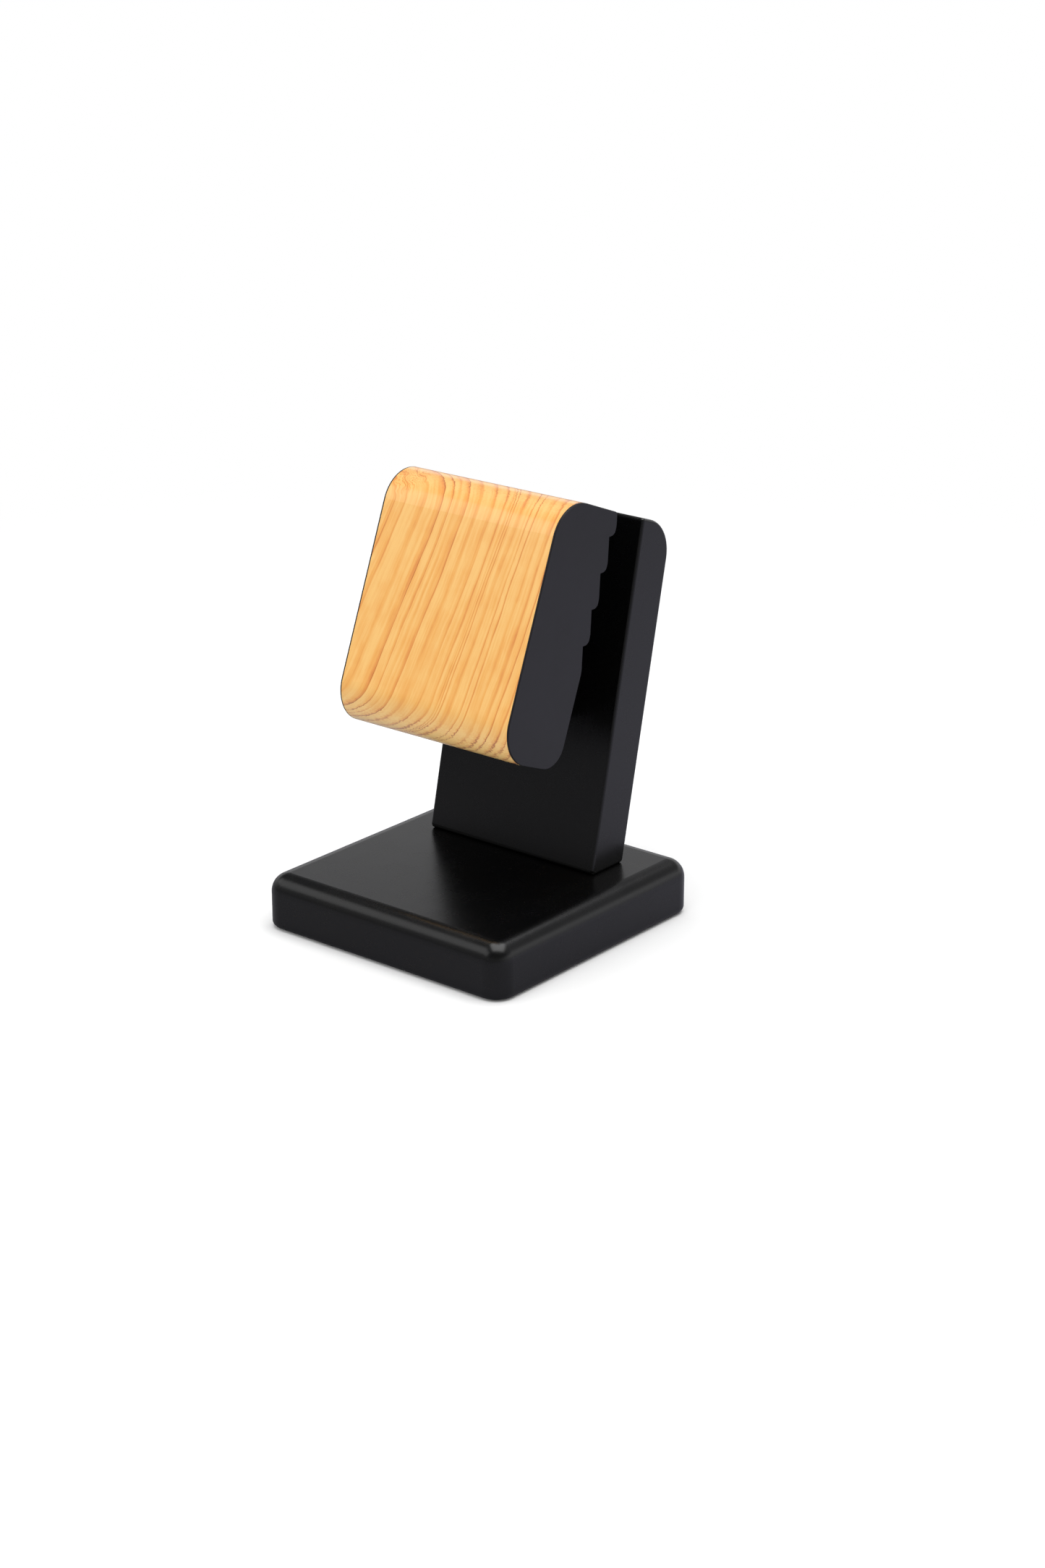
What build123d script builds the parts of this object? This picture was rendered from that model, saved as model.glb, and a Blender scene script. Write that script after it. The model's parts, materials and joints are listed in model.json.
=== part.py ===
from build123d import *
import os
from math import cos, radians, sin, tan

# A small desk stand: a square base, a leaning post, and a tilted wooden pad that a short arm holds
# in front of the post with an open gap behind it.
# Millimetres and degrees. The origin is the centre of the base's footprint, on the surface it stands on.
# X runs along the front edge, Y towards the back and Z up.

# Base
base_side = 80.0
base_top = 14.85
base_corner_radius = 5.5
base_top_radius = 5.0
base_bottom_radius = 1.6

# Felt sheet, glued into a recess in the underside and standing just proud of it
felt_side = 68.0
felt_corner_radius = 3.0
felt_thickness = 1.0
felt_proud = 0.25

# Post
post_width = 55.4
post_lean = 12.4
post_foot_front = 12.4
post_thickness = 13.0
post_length = 94.1
post_top_fall = 7.0
post_top_radius = 10.0
post_foot_radius = 1.2
post_edge_radius = 0.8

# Pad: its side outline is drawn in depth behind the front face and height up it
pad_width = 56.0
pad_lean = 21.58
pad_corner_y = -24.8
pad_corner_z = 57.0
pad_depth = 24.3
pad_height = 67.0
pad_front_radius = 10.0
pad_lower_back_radius = 6.5
pad_top_back_radius = 1.0
face_depth = 11.0
cheek_thickness = 0.5
cheek_edge_break = 0.15

# Steps down the pad's back: each is a level ledge facing down, with a sloping wall below it
step_count = 4
step_pitch = 9.41
step_depth = 2.0
lowest_ledge_height = 32.2
step_wall_angle = 17.5
step_tip_radius = 1.8
step_root_radius = 6.0

# Arm between the post and the pad, square to the post
arm_width = 24.0
arm_height = 15.0
arm_edge_radius = 1.5
arm_pad_height = 16.0

# Dowels
foot_dowel_radius = 3.0
foot_dowel_length = 22.0
foot_dowel_rise = 13.0
foot_dowel_spacing = 40.0
face_dowel_radius = 2.0
face_dowel_length = 12.0
face_dowel_height = 45.0
face_dowel_spacing = 36.0
dowel_chamfer = 0.5

# Wood screws, and the plugs that cover the two in the post's back
screw_radius = 2.0
screw_head_radius = 4.0
screw_head_angle = 90.0
screw_tip_length = 4.0
screw_cross_width = 1.0
screw_cross_length = 4.4
screw_cross_depth = 1.4
foot_screw_length = 30.0
foot_screw_spacing = 18.0
arm_screw_length = 40.0
arm_screw_spacing = 13.0
plug_radius = 4.2
plug_thickness = 3.0
plug_chamfer = 0.2
hole_clearance = 0.03

# Sizes that follow from those above
felt_recess = felt_thickness - felt_proud
pad_core_width = pad_width - 2 * cheek_thickness
post_slope = tan(radians(post_lean))
post_foot_depth = post_thickness / cos(radians(post_lean))
step_wall_slope = tan(radians(step_wall_angle))

# The post's side plane: through its thickness from the front, then up its lean
post_side = Plane(
    origin=(0, post_foot_front, base_top),
    x_dir=(0, cos(radians(post_lean)), -sin(radians(post_lean))),
    z_dir=(1, 0, 0),
)
# The pad's side plane: depth behind its front face, then height up its lean
pad_side = Plane(
    origin=(0, pad_corner_y, pad_corner_z),
    x_dir=(0, cos(radians(pad_lean)), -sin(radians(pad_lean))),
    z_dir=(1, 0, 0),
)
# The pad's flat back, and the post's back where the arm's axis leaves it
pad_back = Plane(pad_side.from_local_coords((pad_depth, arm_pad_height)), z_dir=pad_side.x_dir)
arm_height_on_post = post_side.to_local_coords(pad_back.origin).Y
post_back = Plane(
    origin=post_side.from_local_coords((post_thickness, arm_height_on_post)),
    x_dir=(1, 0, 0),
    z_dir=post_side.x_dir,
)

# A fastener hangs down -Z from its own plane, through every piece that it joins.
# The foot's fasteners stand midway through the leaning post, halfway up the dowels' grip.
foot_joint_y = post_foot_front + post_foot_depth / 2 + foot_dowel_rise / 2 * post_slope
foot_dowel_plane = Plane((0, foot_joint_y, base_top + foot_dowel_rise))
foot_screw_plane = Plane((0, foot_joint_y, felt_thickness), x_dir=(1, 0, 0), z_dir=(0, 0, -1))
arm_screw_plane = post_back.offset(-plug_thickness)
face_dowel_plane = Plane(
    origin=pad_side.from_local_coords((face_depth + face_dowel_length / 2, face_dowel_height)),
    x_dir=(1, 0, 0),
    z_dir=pad_side.x_dir,
)


def drill_pair(plane, spacing, radius, depth):
    """Two plain blind holes side by side, down from a plane."""
    downwards = (Align.CENTER, Align.CENTER, Align.MAX)
    with Locations(plane), GridLocations(spacing, 1, 2, 1):
        Cylinder(radius + hole_clearance, depth, align=downwards, mode=Mode.SUBTRACT)


def drill_screw_pair(plane, spacing, length):
    """Two countersunk screw holes side by side, down from a plane."""
    with Locations(plane), GridLocations(spacing, 1, 2, 1):
        CounterSinkHole(
            screw_radius + hole_clearance,
            screw_head_radius + hole_clearance,
            depth=length + hole_clearance,
            counter_sink_angle=screw_head_angle,
        )


def place_pair(fastener, plane, spacing):
    """Two fasteners side by side, hanging down from a plane."""
    with Locations(plane), GridLocations(spacing, 1, 2, 1):
        add(fastener)


def pin(radius, length, edge_break):
    """A round pin with both ends chamfered."""
    with BuildPart() as piece:
        Cylinder(radius, length, align=(Align.CENTER, Align.CENTER, Align.MAX))
        chamfer(piece.edges().filter_by(GeomType.CIRCLE), edge_break)
    return piece.part


def wood_screw(length):
    """A countersunk wood screw with a cross recess."""
    head_height = (screw_head_radius - screw_radius) / tan(radians(screw_head_angle / 2))
    with BuildPart() as screw:
        with BuildSketch(Plane.XZ):
            with BuildLine():
                Polyline(
                    (0, 0),
                    (screw_head_radius, 0),
                    (screw_radius, -head_height),
                    (screw_radius, screw_tip_length - length),
                    (0, -length),
                    close=True,
                )
            make_face()
        revolve(axis=Axis.Z)
        with BuildSketch():
            Rectangle(screw_cross_length, screw_cross_width)
            Rectangle(screw_cross_width, screw_cross_length)
        extrude(amount=-screw_cross_depth, mode=Mode.SUBTRACT)
    return screw.part


def pad_slice(front, back, offset=0):
    """The pad's side outline between two depths behind its front face."""
    wall_run = step_depth / step_wall_slope
    ledge_rise = step_depth * tan(radians(pad_lean))
    corners = [(0, 0), (pad_depth, 0)]
    radii = [pad_front_radius, pad_lower_back_radius]
    for step in range(step_count):
        ledge = lowest_ledge_height + step * step_pitch
        corners.append((pad_depth, ledge - wall_run))
        corners.append((pad_depth - step_depth, ledge))
        corners.append((pad_depth, ledge + ledge_rise))
        radii += [step_root_radius, 0, step_tip_radius]
    # The top step's wall runs out through the pad's top face
    ledge = lowest_ledge_height + step_count * step_pitch
    top_depth = pad_depth - step_depth + (ledge - pad_height) * step_wall_slope
    corners += [(pad_depth, ledge - wall_run), (top_depth, pad_height), (0, pad_height)]
    radii += [step_root_radius, pad_top_back_radius, pad_front_radius]
    with BuildSketch(pad_side.offset(offset)) as outline:
        with BuildLine():
            FilletPolyline(*corners, radius=radii, close=True)
        make_face()
        with Locations(((front + back) / 2, pad_height / 2)):
            Rectangle(back - front, pad_height, mode=Mode.INTERSECT)
    return outline.sketch


def cheek(side):
    """A thin cheek over one side of the pad: side is 1 on the right and -1 on the left."""
    outline = pad_slice(0, pad_depth, side * pad_core_width / 2)
    with BuildPart() as piece:
        extrude(outline, amount=side * cheek_thickness)
        outer_face = piece.faces().filter_by(Axis.X).sort_by(Axis.X, reverse=side < 0)[-1]
        chamfer(outer_face.edges(), cheek_edge_break)
    return piece.part


with BuildPart() as base_block:
    with BuildSketch(Plane.XY.offset(felt_proud)):
        RectangleRounded(base_side, base_side, base_corner_radius)
    extrude(amount=base_top - felt_proud)
    fillet(base_block.faces().sort_by(Axis.Z)[-1].edges(), base_top_radius)
    fillet(base_block.faces().sort_by(Axis.Z)[0].edges(), base_bottom_radius)
    with BuildSketch(Plane.XY.offset(felt_proud)):
        RectangleRounded(felt_side, felt_side, felt_corner_radius)
    extrude(amount=felt_recess, mode=Mode.SUBTRACT)
    drill_pair(foot_dowel_plane, foot_dowel_spacing, foot_dowel_radius, foot_dowel_length)
    drill_screw_pair(foot_screw_plane, foot_screw_spacing, foot_screw_length)

with BuildPart() as base_felt:
    with BuildSketch():
        RectangleRounded(felt_side, felt_side, felt_corner_radius)
    extrude(amount=felt_thickness)

with BuildPart() as post:
    with BuildSketch(post_side):
        with BuildLine():
            FilletPolyline(
                (0, 0),
                (post_thickness, post_thickness * post_slope),
                (post_thickness, post_length - post_thickness * tan(radians(post_top_fall))),
                (0, post_length),
                radius=[post_foot_radius, post_foot_radius, post_top_radius, post_edge_radius],
                close=True,
            )
        make_face()
    extrude(amount=post_width / 2, both=True)
    fillet(post.faces().filter_by(Axis.X).edges(), post_edge_radius)
    drill_pair(foot_dowel_plane, foot_dowel_spacing, foot_dowel_radius, foot_dowel_length)
    drill_screw_pair(foot_screw_plane, foot_screw_spacing, foot_screw_length)
    drill_screw_pair(arm_screw_plane, arm_screw_spacing, arm_screw_length)
    drill_pair(post_back, arm_screw_spacing, plug_radius, plug_thickness)

with BuildPart() as arm:
    with BuildSketch(post_back.offset(-post_thickness)):
        RectangleRounded(arm_width, arm_height, arm_edge_radius)
    extrude(amount=-arm_screw_length)
    split(bisect_by=pad_back, keep=Keep.TOP)
    drill_screw_pair(arm_screw_plane, arm_screw_spacing, arm_screw_length)

core_outline = pad_slice(face_depth, pad_depth)
with BuildPart() as pad_core:
    extrude(core_outline, amount=pad_core_width / 2, both=True)
    drill_screw_pair(arm_screw_plane, arm_screw_spacing, arm_screw_length)
    drill_pair(face_dowel_plane, face_dowel_spacing, face_dowel_radius, face_dowel_length)

face_outline = pad_slice(0, face_depth)
with BuildPart() as pad_face:
    extrude(face_outline, amount=pad_core_width / 2, both=True)
    drill_pair(face_dowel_plane, face_dowel_spacing, face_dowel_radius, face_dowel_length)

right_cheek = cheek(1)
with BuildPart() as pad_cheek_right:
    add(right_cheek)

left_cheek = cheek(-1)
with BuildPart() as pad_cheek_left:
    add(left_cheek)

foot_dowel = pin(foot_dowel_radius, foot_dowel_length, dowel_chamfer)
with BuildPart() as foot_dowels:
    place_pair(foot_dowel, foot_dowel_plane, foot_dowel_spacing)

foot_screw = wood_screw(foot_screw_length)
with BuildPart() as foot_screws:
    place_pair(foot_screw, foot_screw_plane, foot_screw_spacing)

arm_screw = wood_screw(arm_screw_length)
with BuildPart() as arm_screws:
    place_pair(arm_screw, arm_screw_plane, arm_screw_spacing)

plug = pin(plug_radius, plug_thickness, plug_chamfer)
with BuildPart() as screw_plugs:
    place_pair(plug, post_back, arm_screw_spacing)

face_dowel = pin(face_dowel_radius, face_dowel_length, dowel_chamfer)
with BuildPart() as face_dowels:
    place_pair(face_dowel, face_dowel_plane, face_dowel_spacing)

base_block.part.label = "base_block"
base_felt.part.label = "base_felt"
post.part.label = "post"
arm.part.label = "arm"
pad_core.part.label = "pad_core"
pad_face.part.label = "pad_face"
pad_cheek_right.part.label = "pad_cheek_right"
pad_cheek_left.part.label = "pad_cheek_left"
foot_dowels.part.label = "foot_dowels"
foot_screws.part.label = "foot_screws"
arm_screws.part.label = "arm_screws"
screw_plugs.part.label = "screw_plugs"
face_dowels.part.label = "face_dowels"

os.makedirs("parts", exist_ok=True)
export_step(base_block.part, "parts/base_block.step")
export_step(base_felt.part, "parts/base_felt.step")
export_step(post.part, "parts/post.step")
export_step(arm.part, "parts/arm.step")
export_step(pad_core.part, "parts/pad_core.step")
export_step(pad_face.part, "parts/pad_face.step")
export_step(pad_cheek_right.part, "parts/pad_cheek_right.step")
export_step(pad_cheek_left.part, "parts/pad_cheek_left.step")
export_step(foot_dowels.part, "parts/foot_dowels.step")
export_step(foot_screws.part, "parts/foot_screws.step")
export_step(arm_screws.part, "parts/arm_screws.step")
export_step(screw_plugs.part, "parts/screw_plugs.step")
export_step(face_dowels.part, "parts/face_dowels.step")
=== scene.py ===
import json
from math import cos, pi, radians, sin

import bpy
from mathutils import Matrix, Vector

# A small desk stand: black lacquered wood under a tilted pad faced with clear-coated softwood.
# Lengths are metres unless a name ends in _mm or _MM, and textures are laid out in millimetres.
# X runs along the front edge, Y to the back, Z up.

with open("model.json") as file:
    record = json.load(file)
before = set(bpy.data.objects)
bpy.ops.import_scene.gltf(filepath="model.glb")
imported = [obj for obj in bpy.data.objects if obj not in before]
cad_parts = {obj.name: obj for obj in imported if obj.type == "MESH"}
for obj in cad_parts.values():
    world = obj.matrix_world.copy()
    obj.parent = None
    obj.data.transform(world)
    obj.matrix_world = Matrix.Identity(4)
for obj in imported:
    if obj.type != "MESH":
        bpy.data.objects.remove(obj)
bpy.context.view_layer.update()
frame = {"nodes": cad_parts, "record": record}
nodes = frame["nodes"]
mounts = {mount["name"]: mount for mount in frame["record"]["mounts"]}

MM = 0.001
STAND_MIDDLE = Vector((0, 0, 0.06))
FLOOR_SIDE = 14.0

# Camera: its bearing round the stand and height angle, its distance from the point that it looks at,
# and its lens and sensor width in millimetres
CAMERA_AZIMUTH = radians(39.28)
CAMERA_ELEVATION = radians(20.5)
CAMERA_DISTANCE = 0.829
CAMERA_AIM = Vector((0.0007, 0.0171, 0.0328))
CAMERA_LENS_MM = 72.23
CAMERA_SENSOR_MM = 36.0

# How the growth rings run through the pad. They lean to the right up the face, and cut back to the
# left behind it. Both slopes are in millimetres per millimetre at the middle of the face, and the
# others are how much a slope falls per millimetre to the right or up.
RING_LEAN = 0.17
RING_LEAN_FALL_ACROSS = 0.0022
RING_CUT = 1.28
RING_CUT_FALL_ACROSS = 0.027
RING_CUT_FALL_UP = 0.0065

# The pin knot that the rings swirl round near the face's top left corner, in millimetres: its place
# across, behind and up the face, how far it bends them, and how far apart its own thin rings are
KNOT_MM = (-23.3, 3.0, 30.5)
KNOT_REACH_MM = 8.0
KNOT_RING_SPACING_MM = 1.1

# Growth rings in the pad's wood: where the dark edge of each crosses the middle of the face, in
# millimetres right of centre, how dark it is, how far the ring shades up to it and how wide its edge
# is. The edge fades out to each side over its width times EDGE_SPREAD.
EDGE_SPREAD = 1.25
RINGS_MM = [
    (-33.5, 0.45, 2.4, 0.45),
    (-29.4, 0.55, 2.0, 0.30),
    (-26.0, 0.42, 2.0, 0.45),
    (-19.7, 0.30, 2.4, 0.60),
    (-13.9, 0.85, 3.0, 0.18),
    (-10.8, 0.60, 1.2, 0.20),
    (-8.6, 0.22, 1.2, 0.60),
    (-5.5, 0.62, 2.8, 0.26),
    (-1.5, 0.28, 2.2, 0.80),
    (3.1, 0.42, 1.8, 0.35),
    (6.4, 0.42, 1.6, 0.45),
    (8.2, 0.35, 0.7, 0.16),
    (8.9, 0.50, 0.5, 0.16),
    (9.7, 0.62, 0.6, 0.16),
    (12.2, 0.36, 1.8, 0.70),
    (15.6, 0.62, 0.7, 0.18),
    (17.4, 0.56, 0.6, 0.20),
    (20.8, 0.25, 1.4, 0.60),
    (23.7, 0.48, 2.2, 0.50),
    (26.1, 0.75, 0.8, 0.20),
    (28.8, 0.60, 1.4, 0.35),
    (31.2, 0.55, 1.4, 0.30),
    (33.9, 0.65, 1.6, 0.30),
    (37.0, 0.95, 2.4, 0.40),
    (39.6, 0.55, 1.6, 0.30),
    (42.6, 0.65, 1.8, 0.30),
    (46.0, 0.55, 2.0, 0.35),
    (49.5, 0.65, 2.0, 0.30),
]


# Shader node helpers

def new_material(name):
    """An empty node material and its tree."""
    material = bpy.data.materials.new(name)
    material.use_nodes = True
    material.node_tree.nodes.clear()
    return material, material.node_tree


def feed(tree, socket, value):
    """Link a socket, or set a plain value."""
    if isinstance(value, bpy.types.NodeSocket):
        tree.links.new(value, socket)
    else:
        socket.default_value = value


def calc(tree, operation, first, second=0.0, third=0.0, clamp=False):
    """A math node's result."""
    node = tree.nodes.new("ShaderNodeMath")
    node.operation = operation
    node.use_clamp = clamp
    for socket, value in zip(node.inputs, (first, second, third)):
        feed(tree, socket, value)
    return node.outputs[0]


def vector_calc(tree, operation, first, second, output=0):
    """A vector math node's result."""
    node = tree.nodes.new("ShaderNodeVectorMath")
    node.operation = operation
    feed(tree, node.inputs[0], first)
    feed(tree, node.inputs[1], second)
    return node.outputs[output]


def combine(tree, x, y, z):
    """A vector from three numbers."""
    node = tree.nodes.new("ShaderNodeCombineXYZ")
    for socket, value in zip(node.inputs, (x, y, z)):
        feed(tree, socket, value)
    return node.outputs[0]


def separate(tree, vector):
    """A vector's three numbers."""
    node = tree.nodes.new("ShaderNodeSeparateXYZ")
    feed(tree, node.inputs[0], vector)
    return node.outputs


def noise(tree, vector, scale=1.0, detail=2.0, roughness=0.5):
    """Smooth noise, from 0 to 1."""
    node = tree.nodes.new("ShaderNodeTexNoise")
    feed(tree, node.inputs["Vector"], vector)
    feed(tree, node.inputs["Scale"], scale)
    feed(tree, node.inputs["Detail"], detail)
    feed(tree, node.inputs["Roughness"], roughness)
    return node.outputs["Fac"]


def remap(tree, value, low, high, to_low=0.0, to_high=1.0, smooth=True):
    """A value moved from one range to another, and held inside it."""
    node = tree.nodes.new("ShaderNodeMapRange")
    node.interpolation_type = "SMOOTHSTEP" if smooth else "LINEAR"
    for name, number in (
        ("Value", value),
        ("From Min", low),
        ("From Max", high),
        ("To Min", to_low),
        ("To Max", to_high),
    ):
        feed(tree, node.inputs[name], number)
    return node.outputs["Result"]


def blend_colours(tree, factor, first, second):
    """Two colours mixed."""
    node = tree.nodes.new("ShaderNodeMix")
    node.data_type = "RGBA"
    feed(tree, node.inputs[0], factor)
    feed(tree, node.inputs[6], first)
    feed(tree, node.inputs[7], second)
    return node.outputs[2]


def colour_ramp(tree, factor, stops):
    """A colour ramp from (position, (r, g, b)) stops."""
    node = tree.nodes.new("ShaderNodeValToRGB")
    elements = node.color_ramp.elements
    while len(elements) < len(stops):
        elements.new(0.5)
    for element, (position, colour) in zip(elements, stops):
        element.position = position
        element.color = (*colour, 1.0)
    feed(tree, node.inputs[0], factor)
    return node.outputs["Color"]


def bump(tree, height, distance):
    """A bumped normal: distance is the height of a full step, in metres."""
    node = tree.nodes.new("ShaderNodeBump")
    feed(tree, node.inputs["Strength"], 1.0)
    feed(tree, node.inputs["Distance"], distance)
    feed(tree, node.inputs["Height"], height)
    return node.outputs["Normal"]


def surface(tree, **inputs):
    """A Principled shader on the output. Underscores in a name stand for spaces."""
    shader = tree.nodes.new("ShaderNodeBsdfPrincipled")
    output = tree.nodes.new("ShaderNodeOutputMaterial")
    tree.links.new(shader.outputs[0], output.inputs["Surface"])
    for name, value in inputs.items():
        feed(tree, shader.inputs[name.replace("_", " ")], value)


def position_mm(tree, origin=(0, 0, 0)):
    """The point in the stand's frame, in millimetres from an origin given in metres."""
    place = tree.nodes.new("ShaderNodeTexCoord").outputs["Object"]
    moved = vector_calc(tree, "SUBTRACT", place, tuple(origin))
    return vector_calc(tree, "MULTIPLY", moved, (1 / MM, 1 / MM, 1 / MM))


def stretched(tree, x, y, z, scales):
    """Three numbers scaled one by one, as a vector for a texture."""
    return combine(tree, *(calc(tree, "MULTIPLY", v, s) for v, s in zip((x, y, z), scales)))


# Materials

def black_lacquer(name, grey, roughness):
    """Satin black lacquer: almost flat, with a faint orange peel and an uneven gloss."""
    material, tree = new_material(name)
    place = position_mm(tree)
    broad = noise(tree, place, 0.045, 3.0)
    cloud = noise(tree, place, 0.12, 3.0, 0.6)
    peel = noise(tree, place, 0.22, 1.0, 0.4)
    dust = remap(tree, noise(tree, place, 2.6, 2.0, 0.6), 0.80, 0.86)
    tint = blend_colours(
        tree,
        remap(tree, broad, 0.35, 0.65),
        (grey * 1.12, grey, grey * 0.92, 1.0),
        (grey * 0.92, grey * 0.97, grey * 1.15, 1.0),
    )
    colour = blend_colours(tree, dust, tint, (grey * 3, grey * 3, grey * 3, 1.0))
    gloss = remap(tree, cloud, 0.3, 0.7, roughness - 0.012, roughness + 0.018)
    surface(
        tree,
        Base_Color=colour,
        Roughness=gloss,
        Normal=bump(tree, peel, 0.003 * MM),
        Specular_IOR_Level=0.5,
    )
    return material


def ring_coordinate(tree, across, depth, height):
    """Millimetres across the growth rings, and how near the point is to the pin knot, from 0 to 1."""
    lean = calc(tree, "MULTIPLY_ADD", across, -RING_LEAN_FALL_ACROSS, RING_LEAN)
    cut = calc(tree, "MULTIPLY_ADD", across, -RING_CUT_FALL_ACROSS, RING_CUT)
    cut = calc(tree, "SUBTRACT", cut, calc(tree, "MULTIPLY", height, RING_CUT_FALL_UP))
    rings = calc(tree, "ADD", across, calc(tree, "MULTIPLY", cut, depth))
    rings = calc(tree, "SUBTRACT", rings, calc(tree, "MULTIPLY", lean, height))
    # Slow wander along the trunk, and a finer one
    slow = noise(tree, stretched(tree, across, depth, height, (0.09, 0.09, 0.030)), 1.0, 2.0)
    fine = noise(tree, stretched(tree, across, depth, height, (0.45, 0.45, 0.09)), 1.0, 2.0)
    rings = calc(tree, "ADD", rings, remap(tree, slow, 0.2, 0.8, -0.55, 0.55, smooth=False))
    rings = calc(tree, "ADD", rings, remap(tree, fine, 0.2, 0.8, -0.11, 0.11, smooth=False))
    # The swirl round the knot
    place = combine(tree, across, depth, height)
    offset = vector_calc(tree, "SUBTRACT", place, KNOT_MM)
    distance = vector_calc(tree, "LENGTH", offset, (0, 0, 0), output=1)
    near = remap(tree, distance, 0.0, KNOT_REACH_MM, 1.0, 0.0)
    curl = noise(tree, place, 0.33, 2.0)
    push = remap(tree, curl, 0.25, 0.75, -1.0, 4.6, smooth=False)
    return calc(tree, "ADD", rings, calc(tree, "MULTIPLY", near, push)), near


def ring_shade(tree, rings):
    """How dark the growth rings are: the slow shading up to each edge, and the thin edges."""
    shading = 0.0
    edges = 0.0
    for place, darkness, rise, edge in RINGS_MM:
        climb = remap(tree, rings, place - rise, place, 0.0, darkness)
        fall = remap(tree, rings, place, place + edge, 1.0, 0.0)
        shading = calc(tree, "ADD", shading, calc(tree, "MULTIPLY", climb, fall))
        gap = calc(tree, "ABSOLUTE", calc(tree, "SUBTRACT", rings, place))
        thin = remap(tree, gap, 0.0, edge * EDGE_SPREAD, darkness, 0.0)
        edges = calc(tree, "ADD", edges, thin)
    return shading, edges


def pad_coordinates(tree):
    """Millimetres right of the middle of the pad's flat face, behind it and up it."""
    face = mounts["pad_front"]
    inward = -Vector(face["axis"]).normalized()
    upward = Vector((1, 0, 0)).cross(inward).normalized()
    upward = upward if upward.z > 0 else -upward
    place = position_mm(tree, face["pos_m"])
    across = separate(tree, place)[0]
    depth = vector_calc(tree, "DOT_PRODUCT", place, tuple(inward), output=1)
    height = vector_calc(tree, "DOT_PRODUCT", place, tuple(upward), output=1)
    return across, depth, height


def clear_softwood(name):
    """Solid pale softwood under a clear satin coat. Its grain is cut from one block, so it turns
    over the pad's rounded ends."""
    material, tree = new_material(name)
    across, depth, height = pad_coordinates(tree)
    rings, near_knot = ring_coordinate(tree, across, depth, height)

    def grain(first, scales, detail, roughness=0.5):
        """Noise with its own scales across the rings or the face, behind the face and up it."""
        return noise(tree, stretched(tree, first, depth, height, scales), 1.0, detail, roughness)

    # The rounded ends cut across the fibres, so the rings are darker there and a little ragged; the
    # code makes this strongest towards the bottom end
    end = remap(tree, depth, 0.0, 4.0)
    end = calc(tree, "MULTIPLY", end, remap(tree, height, -10.0, 10.0, 1.0, 0.45))
    ragged = grain(across, (0.7, 1.6, 1.6), 2.0, 0.6)
    jitter = remap(tree, ragged, 0.25, 0.75, -0.60, 0.60, smooth=False)
    rings = calc(tree, "ADD", rings, calc(tree, "MULTIPLY", jitter, end))
    shading, edges = ring_shade(tree, rings)
    shading_weight = remap(tree, end, 0.0, 1.0, 0.50, 0.95, smooth=False)
    edge_weight = remap(tree, end, 0.0, 1.0, 0.36, 1.80, smooth=False)
    shading = calc(tree, "MULTIPLY", shading, shading_weight)
    edges = calc(tree, "MULTIPLY", edges, edge_weight)

    # Fibres run along the rings
    streaks = grain(rings, (1.3, 0.10, 0.035), 3.0, 0.55)
    fibres = grain(rings, (6.5, 1.2, 0.22), 2.0, 0.6)
    dashes = grain(rings, (3.4, 0.7, 0.30), 2.0)
    flecks = grain(rings, (1.6, 3.4, 3.4), 3.0, 0.65)
    breaks = grain(rings, (0.5, 0.1, 0.07), 2.0)
    mottle = grain(across, (0.22, 0.22, 0.13), 3.0)
    edges = calc(tree, "MULTIPLY", edges, remap(tree, breaks, 0.32, 0.62, 0.55, 1.1))
    knot_rings = calc(tree, "PINGPONG", rings, KNOT_RING_SPACING_MM / 2)
    curls = remap(tree, knot_rings, 0.0, 0.24, 0.75, 0.0)
    fleck = remap(tree, flecks, 0.38, 0.62, -0.34, 0.14)

    shade = calc(tree, "ADD", shading, edges)
    shade = calc(tree, "ADD", shade, calc(tree, "MULTIPLY", curls, near_knot))
    shade = calc(tree, "ADD", shade, remap(tree, streaks, 0.30, 0.72, -0.02, 0.20))
    shade = calc(tree, "ADD", shade, remap(tree, fibres, 0.3, 0.7, -0.035, 0.035))
    shade = calc(tree, "ADD", shade, remap(tree, mottle, 0.35, 0.7, -0.05, 0.09))
    shade = calc(tree, "ADD", shade, calc(tree, "MULTIPLY", fleck, end))
    shade = calc(tree, "ADD", shade, remap(tree, dashes, 0.66, 0.80, 0.0, 0.16), clamp=True)
    colour = colour_ramp(
        tree,
        shade,
        [
            (0.0, (0.925, 0.521, 0.157)),
            (0.30, (0.87, 0.396, 0.086)),
            (0.60, (0.76, 0.266, 0.052)),
            (1.0, (0.45, 0.115, 0.018)),
        ],
    )
    colour = blend_colours(tree, calc(tree, "MULTIPLY", end, 0.18), colour, (1.0, 0.75, 0.45, 1))
    surface(
        tree,
        Base_Color=colour,
        Roughness=remap(tree, streaks, 0.3, 0.7, 0.42, 0.34),
        Normal=bump(tree, fibres, 0.010 * MM),
        Coat_Weight=0.85,
        Coat_Roughness=0.17,
        Specular_IOR_Level=0.45,
    )
    return material


def laminate(name):
    """Smooth black laminate with a fine satin texture and a few faint rubbed patches."""
    material, tree = new_material(name)
    place = position_mm(tree)
    patches = noise(tree, place, 0.08, 3.0)
    grit = noise(tree, place, 9.0, 2.0, 0.6)
    colour = blend_colours(
        tree,
        remap(tree, patches, 0.35, 0.65),
        (0.0034, 0.0027, 0.0046, 1),
        (0.0046, 0.0038, 0.0056, 1),
    )
    surface(
        tree,
        Base_Color=colour,
        Roughness=remap(tree, patches, 0.3, 0.7, 0.40, 0.46),
        Normal=bump(tree, grit, 0.004 * MM),
    )
    return material


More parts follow.
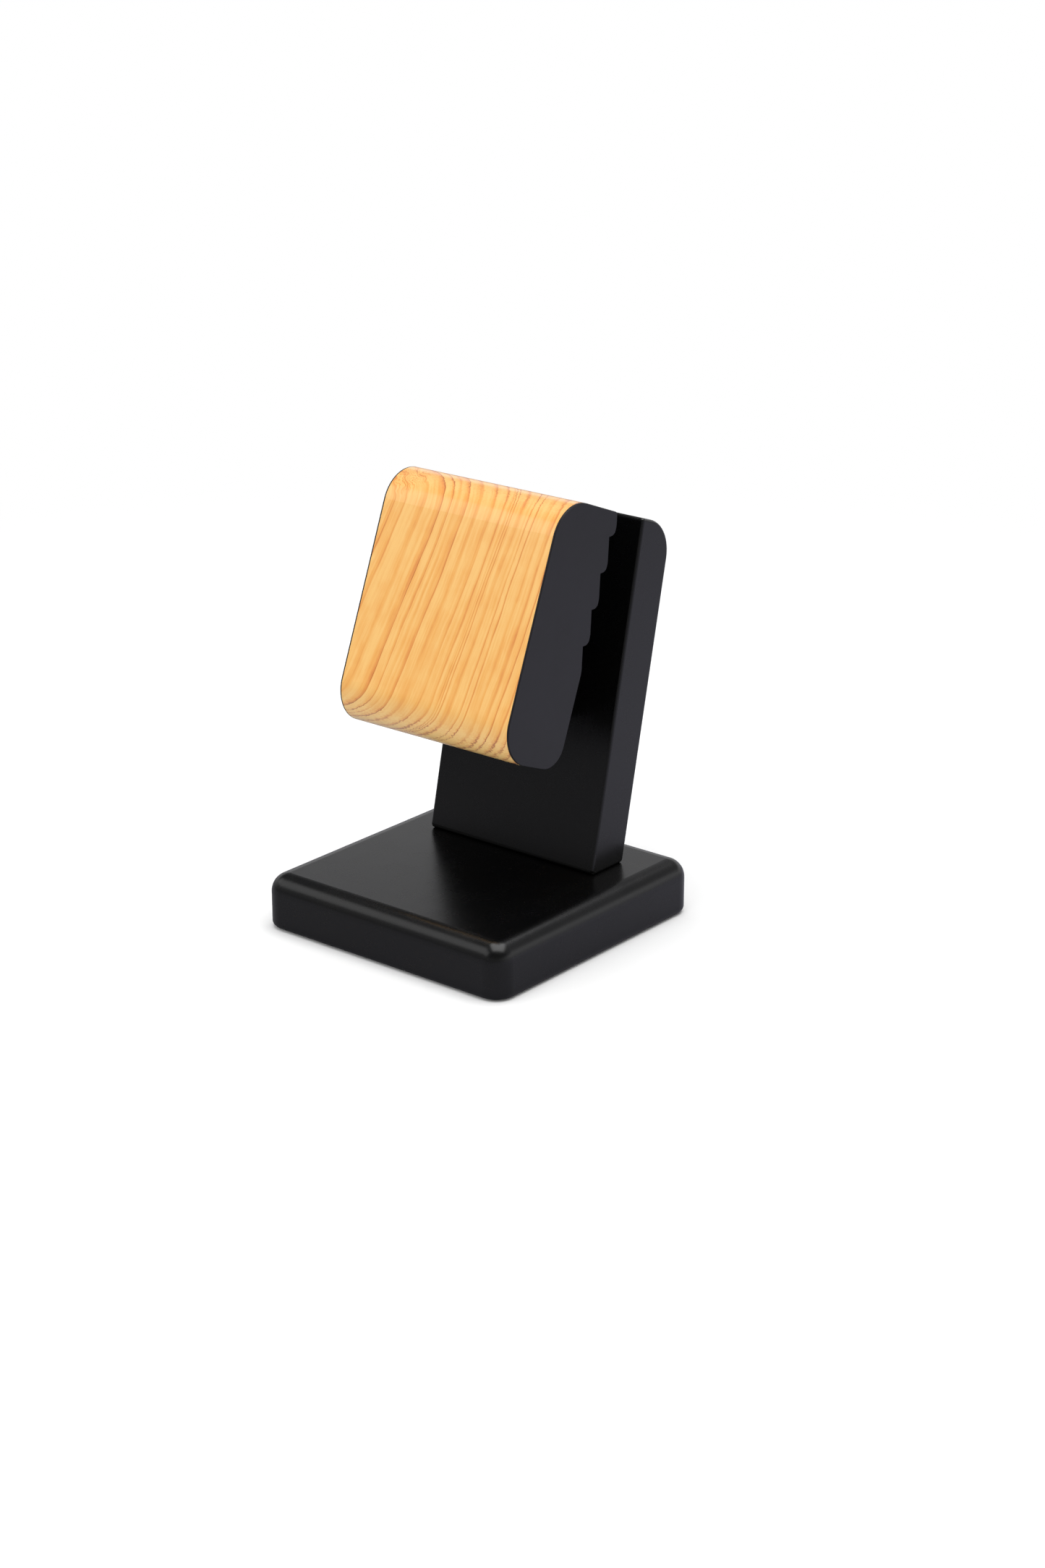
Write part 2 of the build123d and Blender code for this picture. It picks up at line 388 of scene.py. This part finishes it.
def felt(name):
    """Pressed black felt: short tangled fibres with a soft sheen."""
    material, tree = new_material(name)
    place = position_mm(tree)
    tangle = noise(tree, place, 3.2, 4.0, 0.7)
    tufts = noise(tree, place, 0.5, 3.0)
    lint = remap(tree, noise(tree, place, 5.0, 2.0), 0.70, 0.80)
    colour = blend_colours(tree, tangle, (0.006, 0.006, 0.007, 1), (0.030, 0.030, 0.034, 1))
    colour = blend_colours(tree, calc(tree, "MULTIPLY", lint, 0.5), colour, (0.16, 0.16, 0.17, 1))
    height = calc(tree, "ADD", tangle, calc(tree, "MULTIPLY", tufts, 0.5))
    surface(
        tree,
        Base_Color=colour,
        Roughness=remap(tree, tufts, 0.3, 0.7, 0.85, 0.98),
        Normal=bump(tree, height, 0.15 * MM),
        Sheen_Weight=0.4,
        Sheen_Roughness=0.5,
    )
    return material


def dowel_wood(name):
    """Bare hardwood dowel with straight grain along it and fine flecks."""
    material, tree = new_material(name)
    x, y, z = separate(tree, position_mm(tree))
    grain = noise(tree, stretched(tree, x, y, z, (1.6, 1.6, 0.12)), 1.0, 3.0, 0.6)
    fleck = remap(tree, noise(tree, stretched(tree, x, y, z, (5, 5, 0.9)), 1.0), 0.66, 0.76)
    colour = blend_colours(tree, grain, (0.46, 0.27, 0.12, 1), (0.66, 0.43, 0.22, 1))
    colour = blend_colours(tree, calc(tree, "MULTIPLY", fleck, 0.5), colour, (0.25, 0.12, 0.05, 1))
    surface(
        tree,
        Base_Color=colour,
        Roughness=remap(tree, grain, 0.3, 0.7, 0.62, 0.75),
        Normal=bump(tree, grain, 0.05 * MM),
    )
    return material


def plated_steel(name):
    """Zinc-plated steel with a yellow cast and fine scratches."""
    material, tree = new_material(name)
    place = position_mm(tree)
    cast = noise(tree, place, 0.5, 3.0)
    scratches = noise(tree, place, 8.0, 3.0, 0.7)
    colour = blend_colours(tree, cast, (0.50, 0.42, 0.26, 1), (0.62, 0.58, 0.50, 1))
    surface(
        tree,
        Base_Color=colour,
        Metallic=1.0,
        Roughness=remap(tree, scratches, 0.3, 0.7, 0.24, 0.42),
        Normal=bump(tree, scratches, 0.01 * MM),
    )
    return material


MATERIALS = {
    "black_lacquer": black_lacquer("stand_black_lacquer", grey=0.0011, roughness=0.265),
    "plug_lacquer": black_lacquer("stand_plug_lacquer", grey=0.0020, roughness=0.34),
    "black_laminate": laminate("stand_black_laminate"),
    "clear_softwood": clear_softwood("stand_clear_softwood"),
    "felt": felt("stand_felt"),
    "dowel_wood": dowel_wood("stand_dowel_wood"),
    "screw_steel": plated_steel("stand_screw_steel"),
}

for entry in frame["record"]["subparts"]:
    for slot in nodes[entry["node"]].material_slots:
        slot.material = MATERIALS[entry["material_slot"]]


# Stage

def make_floor(size):
    """A floor that looks white and reflects as grey, with painted shade in the grey: darker in front
    of the stand, lighter behind it and to its right.
    """
    mesh = bpy.data.meshes.new("floor")
    half = size / 2
    corners = [(-half, -half, 0), (half, -half, 0), (half, half, 0), (-half, half, 0)]
    mesh.from_pydata(corners, [], [(0, 1, 2, 3)])
    floor = bpy.data.objects.new("floor", mesh)
    bpy.context.scene.collection.objects.link(floor)
    material, tree = new_material("floor")
    x, y = separate(tree, tree.nodes.new("ShaderNodeTexCoord").outputs["Object"])[:2]
    # How far a point is behind the stand and to its right
    behind = calc(tree, "ADD", calc(tree, "MULTIPLY", x, 0.6), calc(tree, "MULTIPLY", y, 0.8))
    # Painted shade: the grey that reflections see is painted darker in front of the stand and lighter
    # behind it and to its right
    mirrored = blend_colours(
        tree,
        remap(tree, behind, -0.09, 0.16),
        (0.25, 0.248, 0.270, 1),
        (0.44, 0.435, 0.51, 1),
    )
    ray = tree.nodes.new("ShaderNodeLightPath").outputs
    colour = blend_colours(tree, ray["Is Camera Ray"], (0.80, 0.93, 1.0, 1), (0.97, 0.97, 0.97, 1))
    colour = blend_colours(tree, ray["Is Glossy Ray"], colour, mirrored)
    diffuse = tree.nodes.new("ShaderNodeBsdfDiffuse")
    feed(tree, diffuse.inputs["Color"], colour)
    # Past the stand's own shadow, the floor fades into the white room
    distance = vector_calc(tree, "LENGTH", combine(tree, x, y, 0.0), (0, 0, 0), output=1)
    far = calc(tree, "MULTIPLY", remap(tree, distance, 0.10, 0.45), ray["Is Camera Ray"])
    white = tree.nodes.new("ShaderNodeEmission")
    fade = tree.nodes.new("ShaderNodeMixShader")
    output = tree.nodes.new("ShaderNodeOutputMaterial")
    feed(tree, fade.inputs[0], far)
    tree.links.new(diffuse.outputs[0], fade.inputs[1])
    tree.links.new(white.outputs[0], fade.inputs[2])
    tree.links.new(fade.outputs[0], output.inputs["Surface"])
    mesh.materials.append(material)


def make_world():
    """A white room to the camera, a grey one to the floor and the matt parts that it lights, and a
    studio to reflections: a bright low sweep behind the stand, under a dark ceiling."""
    world = bpy.data.worlds.new("studio")
    bpy.context.scene.world = world
    world.use_nodes = True
    tree = world.node_tree
    tree.nodes.clear()
    direction = tree.nodes.new("ShaderNodeTexCoord").outputs["Generated"]
    x, y, z = separate(tree, direction)
    back = remap(tree, y, -0.7, 0.5)
    rise = remap(tree, z, 0.0, 0.24, 0.4, 1.0)
    low = calc(tree, "MULTIPLY", rise, remap(tree, z, 0.30, 0.46, 1.0, 0.0))
    right = calc(tree, "MULTIPLY", remap(tree, x, -0.62, -0.35), remap(tree, y, 0.0, 0.5))
    sweep = blend_colours(tree, back, (0.28, 0.28, 0.282, 1), (0.95, 0.95, 0.965, 1))
    high = blend_colours(tree, right, (0.08, 0.08, 0.082, 1), (0.28, 0.28, 0.29, 1))
    mirrored = blend_colours(tree, low, high, sweep)
    ray = tree.nodes.new("ShaderNodeLightPath").outputs
    room = blend_colours(tree, ray["Is Glossy Ray"], (0.40, 0.40, 0.40, 1), mirrored)
    room = blend_colours(tree, ray["Is Camera Ray"], room, (1, 1, 1, 1))
    background = tree.nodes.new("ShaderNodeBackground")
    output = tree.nodes.new("ShaderNodeOutputWorld")
    feed(tree, background.inputs["Color"], room)
    tree.links.new(background.outputs[0], output.inputs["Surface"])


def softbox(name, direction, distance, width, height, radiance, glossy=True):
    """A rectangular softbox that faces the stand's middle."""
    light = bpy.data.lights.new(name, "AREA")
    light.shape = "RECTANGLE"
    light.size = width
    light.size_y = height
    light.energy = radiance * pi * width * height
    lamp = bpy.data.objects.new(name, light)
    bpy.context.scene.collection.objects.link(lamp)
    aim = Vector(direction).normalized()
    lamp.location = STAND_MIDDLE + aim * distance
    lamp.rotation_euler = aim.to_track_quat("Z", "Y").to_euler()
    lamp.visible_glossy = glossy
    return lamp


def keep_light_off(lamp, name):
    """Keep a softbox's light off one node, as a card between them would."""
    flagged = bpy.data.collections.new(lamp.name + "_flagged")
    flagged.objects.link(nodes[name])
    flagged.collection_objects[0].light_linking.link_state = "EXCLUDE"
    lamp.light_linking.receiver_collection = flagged


def make_camera():
    """The camera that was fitted to the photo."""
    camera = bpy.data.cameras.new("camera")
    camera.lens = CAMERA_LENS_MM
    camera.sensor_width = CAMERA_SENSOR_MM
    camera.clip_end = 50
    viewer = bpy.data.objects.new("camera", camera)
    bpy.context.scene.collection.objects.link(viewer)
    forward = Vector((
        -sin(CAMERA_AZIMUTH) * cos(CAMERA_ELEVATION),
        cos(CAMERA_AZIMUTH) * cos(CAMERA_ELEVATION),
        -sin(CAMERA_ELEVATION),
    ))
    viewer.location = CAMERA_AIM - forward * CAMERA_DISTANCE
    viewer.rotation_euler = (pi / 2 - CAMERA_ELEVATION, 0, CAMERA_AZIMUTH)
    bpy.context.scene.camera = viewer


make_floor(FLOOR_SIDE)
make_world()
key = softbox(
    "key_left",
    direction=(-0.593, -0.52, 0.56),
    distance=0.9,
    width=1.1,
    height=0.42,
    radiance=1.15,
)
softbox(
    "overhead",
    direction=(0.1, 0.1, 1.0),
    distance=1.1,
    width=1.2,
    height=1.2,
    radiance=2.9,
)
softbox(
    "front_fill",
    direction=(0.3, -1.0, 0.35),
    distance=1.2,
    width=1.2,
    height=0.8,
    radiance=1.0,
    glossy=False,
)
keep_light_off(key, "post")
make_camera()
bpy.context.scene.view_settings.view_transform = "Standard"
